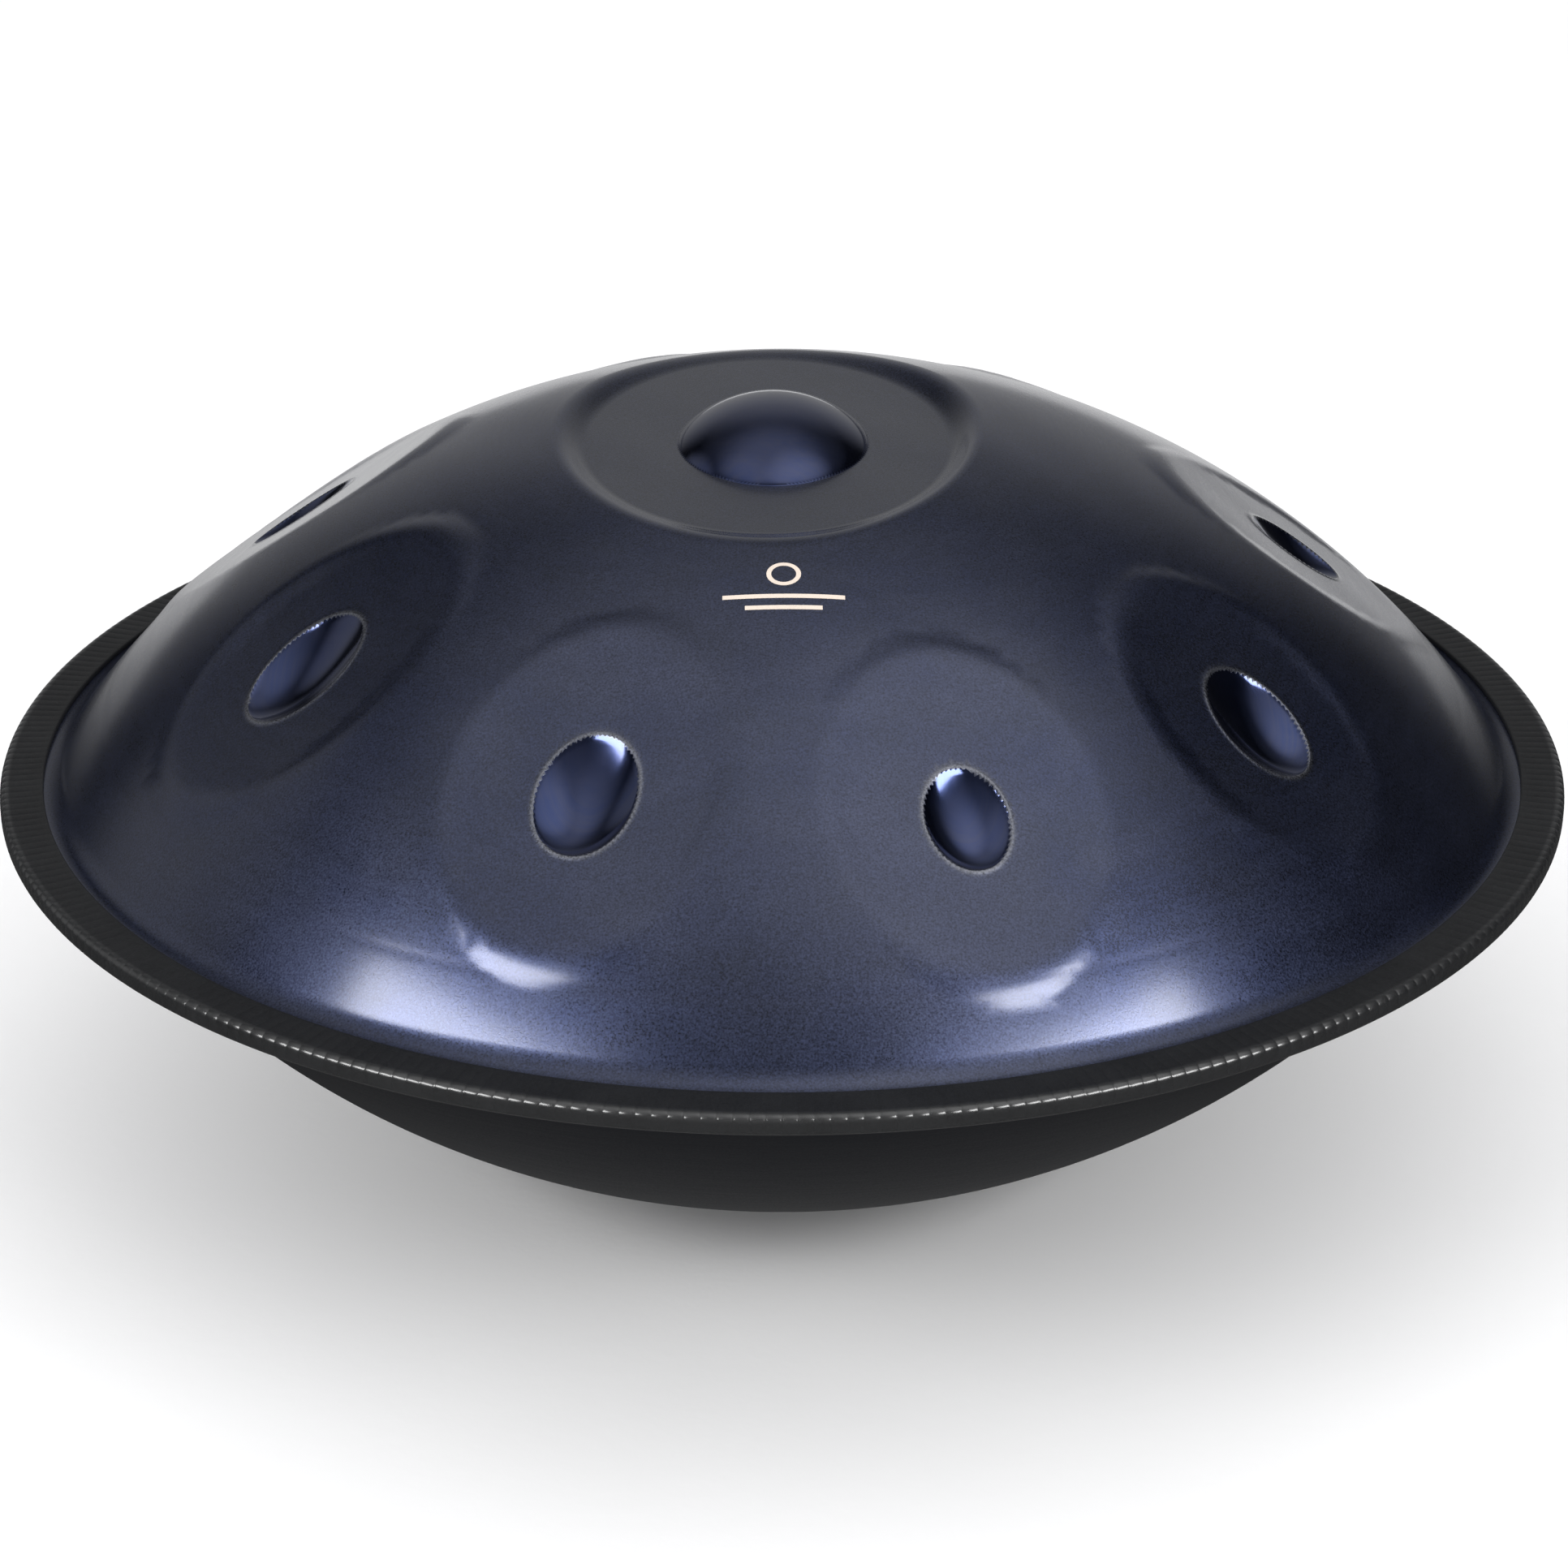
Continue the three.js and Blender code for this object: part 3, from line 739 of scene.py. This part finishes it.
def bowl_steel():
    """The same steel on the lower shell, painted darker as shade under the pan, a little rougher, with spun
    rings.
    """
    n = Nodes("nitrided_steel_painted_shade")
    place = n.place()
    clouds = n.noise(place, 8.0, 3.0, 0.55, 0.3)
    streaks = n.noise(n.around(6.0, 700.0), 1.0, 4.0, 0.65)
    wide_streaks = n.noise(n.around(4.0, 120.0), 1.0, 3.0, 0.6)
    sand = n.noise(place, 1500.0, 2.0, 0.6)
    # Painted shade: these colours are darker than the dome's steel because the bowl lies in shade.
    colour = n.mix(n.range(clouds, 0.35, 0.65, 0.0, 1.0), rgb(0.024, 0.028, 0.042), rgb(0.034, 0.037, 0.05))
    colour = n.mix(n.range(wide_streaks, 0.45, 0.75, 0.0, 0.4), colour, rgb(0.04, 0.043, 0.055))
    rough = n.math("ADD", 0.42, n.range(sand, 0.3, 0.7, -0.05, 0.05))
    rough = n.math("ADD", rough, n.range(streaks, 0.3, 0.7, -0.03, 0.03))
    bump = n.bump(sand, 0.00002)
    bump = n.bump(streaks, 0.000015, normal=bump)
    return n.surface(
        base_color=colour, metallic=1.0, roughness=rough, normal=bump,
        coat_weight=0.25, coat_roughness=0.35, coat_ior=1.5,
    )


def trim_plastic():
    """Black soft plastic with a leather grain: matte on its flat faces, with a worn sheen outside."""
    n = Nodes("trim_plastic")
    place = n.place()
    warp = n.noise(place, 300.0, 2.0, 0.5)
    grain = {"Vector": n.mix(0.02, place, warp), "Scale": 1100.0}
    pebble = n.add("TexVoronoi", grain, feature="SMOOTH_F1")
    fine = n.noise(place, 2600.0, 3.0, 0.6)
    dust = n.noise(place, 60.0, 4.0, 0.6)
    out = n.add("VectorMath", {0: place, 1: (1, 1, 0)}, operation="MULTIPLY")
    out = n.add("VectorMath", {0: out}, out=1, operation="LENGTH")
    burnished = n.range(out, (TRIM_RADIUS - 3.5) * MM, (TRIM_RADIUS - 1.5) * MM, 0.0, 1.0)
    colour = n.mix(n.range(dust, 0.4, 0.7, 0.0, 1.0), rgb(0.003, 0.0034, 0.0042), rgb(0.006, 0.0065, 0.0075))
    colour = n.mix(n.range(pebble, 0.25, 0.6, 0.35, 0.0), colour, rgb(0.013, 0.014, 0.016))
    rough = n.range(fine, 0.3, 0.7, 0.4, 0.55)
    bump = n.bump(pebble, -0.00005)
    bump = n.bump(fine, 0.00001, normal=bump)
    return n.surface(
        base_color=colour, metallic=0.0, roughness=rough, normal=bump,
        ior=1.45, coat_weight=burnished, coat_roughness=0.22, coat_ior=1.9,
    )


def adhesive():
    """Cured grey adhesive, slightly lumpy."""
    n = Nodes("cured_adhesive")
    place = n.place()
    lumps = n.noise(place, 420.0, 4.0, 0.6)
    tone = n.noise(place, 40.0, 3.0, 0.5)
    colour = n.mix(tone, rgb(0.055, 0.052, 0.047), rgb(0.1, 0.095, 0.085))
    rough = n.range(lumps, 0.3, 0.7, 0.45, 0.7)
    return n.surface(base_color=colour, metallic=0.0, roughness=rough, normal=n.bump(lumps, 0.00015))


def strip_steel():
    """Plain rolled strip steel with fine lines along the strip."""
    n = Nodes("strip_steel")
    lines = n.noise(n.around(3.0, 1600.0), 1.0, 4.0, 0.6)
    stains = n.noise(n.place(), 50.0, 4.0, 0.6)
    colour = n.mix(n.range(stains, 0.4, 0.7, 0.0, 1.0), rgb(0.5, 0.51, 0.53), rgb(0.36, 0.35, 0.34))
    rough = n.range(lines, 0.3, 0.7, 0.3, 0.5)
    return n.surface(base_color=colour, metallic=1.0, roughness=rough, normal=n.bump(lines, 0.00002))


def print_ink():
    """Warm beige printing ink with the steel's grain showing through."""
    n = Nodes("print_ink")
    place = n.place()
    grain = n.noise(place, 1500.0, 2.0, 0.6)
    patch = n.noise(place, 220.0, 3.0, 0.5)
    colour = n.mix(n.range(grain, 0.3, 0.7, 0.0, 0.5), rgb(0.62, 0.53, 0.45), rgb(0.5, 0.43, 0.37))
    colour = n.mix(n.range(patch, 0.5, 0.8, 0.0, 0.3), colour, rgb(0.4, 0.36, 0.33))
    rough = n.range(grain, 0.3, 0.7, 0.45, 0.6)
    return n.surface(base_color=colour, metallic=0.0, roughness=rough, normal=n.bump(grain, 0.00002))


def floor_paint():
    n = Nodes("pale_floor")
    place = n.place()
    tone = n.noise(place, 3.0, 3.0, 0.5)
    fine = n.noise(place, 180.0, 3.0, 0.5)
    colour = n.mix(n.range(tone, 0.3, 0.7, 0.0, 1.0), rgb(0.8, 0.8, 0.8), rgb(0.84, 0.84, 0.84))
    rough = n.range(fine, 0.3, 0.7, 0.55, 0.65)
    return n.surface(base_color=colour, metallic=0.0, roughness=rough, normal=n.bump(fine, 0.0001))


# ---------------------------------------------------------------- pieces


def add_piece(name, mesh, material, stands_for=None):
    piece = bpy.data.objects.new(name, mesh)
    bpy.context.scene.collection.objects.link(piece)
    mesh.materials.append(material)
    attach(piece, "root")
    if stands_for:
        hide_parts(stands_for)
    return piece


def repaint(node, material):
    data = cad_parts[node].data
    data.materials.clear()
    data.materials.append(material)


dome = add_piece("dome_shell", shell_mesh("dome_shell"), nitrided_steel(), "top_shell")
dome.data.materials.append(polished_steel())
add_piece("bowl_shell", bowl_mesh("bowl_shell"), bowl_steel(), "bottom_shell")
add_piece("rim_trim", trim_mesh("rim_trim"), trim_plastic(), "trim_jacket")
add_piece("printed_mark", printed_mark_mesh("printed_mark"), print_ink())
repaint("glue_ring", adhesive())
repaint("trim_core", strip_steel())


# ---------------------------------------------------------------- studio

RING_CENTRE = Vector((0, 0, MIDDLE * MM))


def direction(azimuth, elevation):
    """Unit vector towards an azimuth from the front, positive towards +X, and an elevation, in degrees."""
    a, e = math.radians(azimuth), math.radians(elevation)
    return Vector((math.sin(a) * math.cos(e), -math.cos(a) * math.cos(e), math.sin(e)))


def aim(obj, place, target):
    obj.location = place
    obj.rotation_mode = "QUATERNION"
    obj.rotation_quaternion = (target - place).to_track_quat("-Z", "Y")


def studio_camera():
    data = bpy.data.cameras.new("camera")
    data.lens = CAMERA_LENS
    data.sensor_width = 36
    data.shift_x, data.shift_y = CAMERA_SHIFT
    data.clip_end = 60
    camera = bpy.data.objects.new("camera", data)
    bpy.context.scene.collection.objects.link(camera)
    aim(camera, RING_CENTRE + CAMERA_DISTANCE * direction(0, CAMERA_ELEVATION), RING_CENTRE)
    bpy.context.scene.camera = camera


def softbox(name, azimuth, elevation, distance, width, height, power):
    data = bpy.data.lights.new(name, "AREA")
    data.shape = "RECTANGLE"
    data.size = width
    data.size_y = height
    data.energy = power
    lamp = bpy.data.objects.new(name, data)
    bpy.context.scene.collection.objects.link(lamp)
    aim(lamp, RING_CENTRE + distance * direction(azimuth, elevation), RING_CENTRE)


def only_in_reflections(obj):
    obj.visible_camera = False
    obj.visible_diffuse = False
    obj.visible_shadow = False
    obj.visible_transmission = False


def spot(n, towards, azimuth, elevation, reach, strength, full=0):
    """A soft round patch in a glow pattern, fading from full to reach degrees from its middle."""
    to = direction(azimuth, elevation)
    inputs = {0: towards, 1: (to.x, to.y, to.z)}
    aligned = n.add("VectorMath", inputs, out=1, operation="DOT_PRODUCT")
    outside, inside = (math.cos(math.radians(angle)) for angle in (reach, full))
    inputs = {0: aligned, 1: outside, 2: inside, 3: 0.0, 4: strength}
    return n.add("MapRange", inputs, interpolation_type="SMOOTHSTEP")


def reflected_room():
    """What the steel reflects above the floor: a dim room with soft paler patches."""
    mesh = bpy.data.meshes.new("reflected_room")
    work = bmesh.new()
    bmesh.ops.create_uvsphere(work, u_segments=48, v_segments=32, radius=ROOM_RADIUS)
    cut = [v for v in work.verts if v.co.z < -0.01]
    bmesh.ops.delete(work, geom=cut, context="VERTS")
    work.to_mesh(mesh)
    work.free()
    n = Nodes("reflected_room")
    towards = n.add("VectorMath", {0: n.place()}, operation="NORMALIZE")
    up = n.add("SeparateXYZ", {0: towards}, out=2)
    glow = n.range(up, 0.5, 0.9, 0.01, 0.15)
    for patch in ROOM_PATCHES:
        glow = n.math("ADD", glow, spot(n, towards, *patch))
    glow = n.math("MAXIMUM", glow, 0.01)
    n.add("OutputMaterial", {"Surface": n.add("Emission", {"Strength": glow})})
    mesh.materials.append(n.material)
    room = bpy.data.objects.new("reflected_room", mesh)
    bpy.context.scene.collection.objects.link(room)
    only_in_reflections(room)


def reflected_ground():
    """What the steel reflects below the horizon: pale behind and dark elsewhere."""
    steps = 64
    just_above_floor = 0.0005
    angles = [i * 2 * math.pi / steps for i in range(steps)]
    vertices = [(ROOM_RADIUS * math.cos(a), ROOM_RADIUS * math.sin(a), just_above_floor) for a in angles]
    mesh = bpy.data.meshes.new("reflected_ground")
    mesh.from_pydata(vertices, [], [range(steps)])
    n = Nodes("reflected_ground")
    towards = n.add("VectorMath", {0: n.place()}, operation="NORMALIZE")
    behind = spot(n, towards, 180, 0, 45, 0.65, 16)
    in_front = spot(n, towards, 0, 0, 85, 0.08)
    glow = n.math("ADD", n.math("ADD", behind, in_front), 0.045)
    n.add("OutputMaterial", {"Surface": n.add("Emission", {"Strength": glow})})
    mesh.materials.append(n.material)
    ground = bpy.data.objects.new("reflected_ground", mesh)
    bpy.context.scene.collection.objects.link(ground)
    only_in_reflections(ground)


def studio_world():
    """A pale room: bright at the horizon, greyer overhead."""
    world = bpy.data.worlds.new("studio")
    world.use_nodes = True
    tree = world.node_tree
    tree.nodes.clear()
    place = tree.nodes.new("ShaderNodeTexCoord")
    split = tree.nodes.new("ShaderNodeSeparateXYZ")
    tree.links.new(place.outputs[0], split.inputs[0])
    ramp = tree.nodes.new("ShaderNodeValToRGB")
    ramp.color_ramp.elements[0].position = 0.0
    ramp.color_ramp.elements[0].color = rgb(0.9, 0.9, 0.9)
    ramp.color_ramp.elements[1].position = 0.75
    ramp.color_ramp.elements[1].color = rgb(0.75, 0.75, 0.76)
    middle = ramp.color_ramp.elements.new(0.3)
    middle.color = rgb(0.8, 0.8, 0.81)
    tree.links.new(split.outputs[2], ramp.inputs[0])
    sky = tree.nodes.new("ShaderNodeBackground")
    tree.links.new(ramp.outputs[0], sky.inputs[0])
    sky.inputs[1].default_value = 1.6
    out = tree.nodes.new("ShaderNodeOutputWorld")
    tree.links.new(sky.outputs[0], out.inputs[0])
    bpy.context.scene.world = world


def studio_floor():
    mesh = bpy.data.meshes.new("floor")
    side = 25.0
    corners = [(-side, -side, 0), (side, -side, 0), (side, side, 0), (-side, side, 0)]
    mesh.from_pydata(corners, [], [(0, 1, 2, 3)])
    mesh.materials.append(floor_paint())
    floor = bpy.data.objects.new("floor", mesh)
    bpy.context.scene.collection.objects.link(floor)


studio_camera()
studio_world()
studio_floor()
reflected_room()
reflected_ground()
softbox("softbox_left", -49, 32, 1.9, 1.15, 0.42, 13)
softbox("softbox_right", 45, 31, 1.9, 1.15, 0.42, 14)

bpy.context.scene.view_settings.view_transform = "Standard"
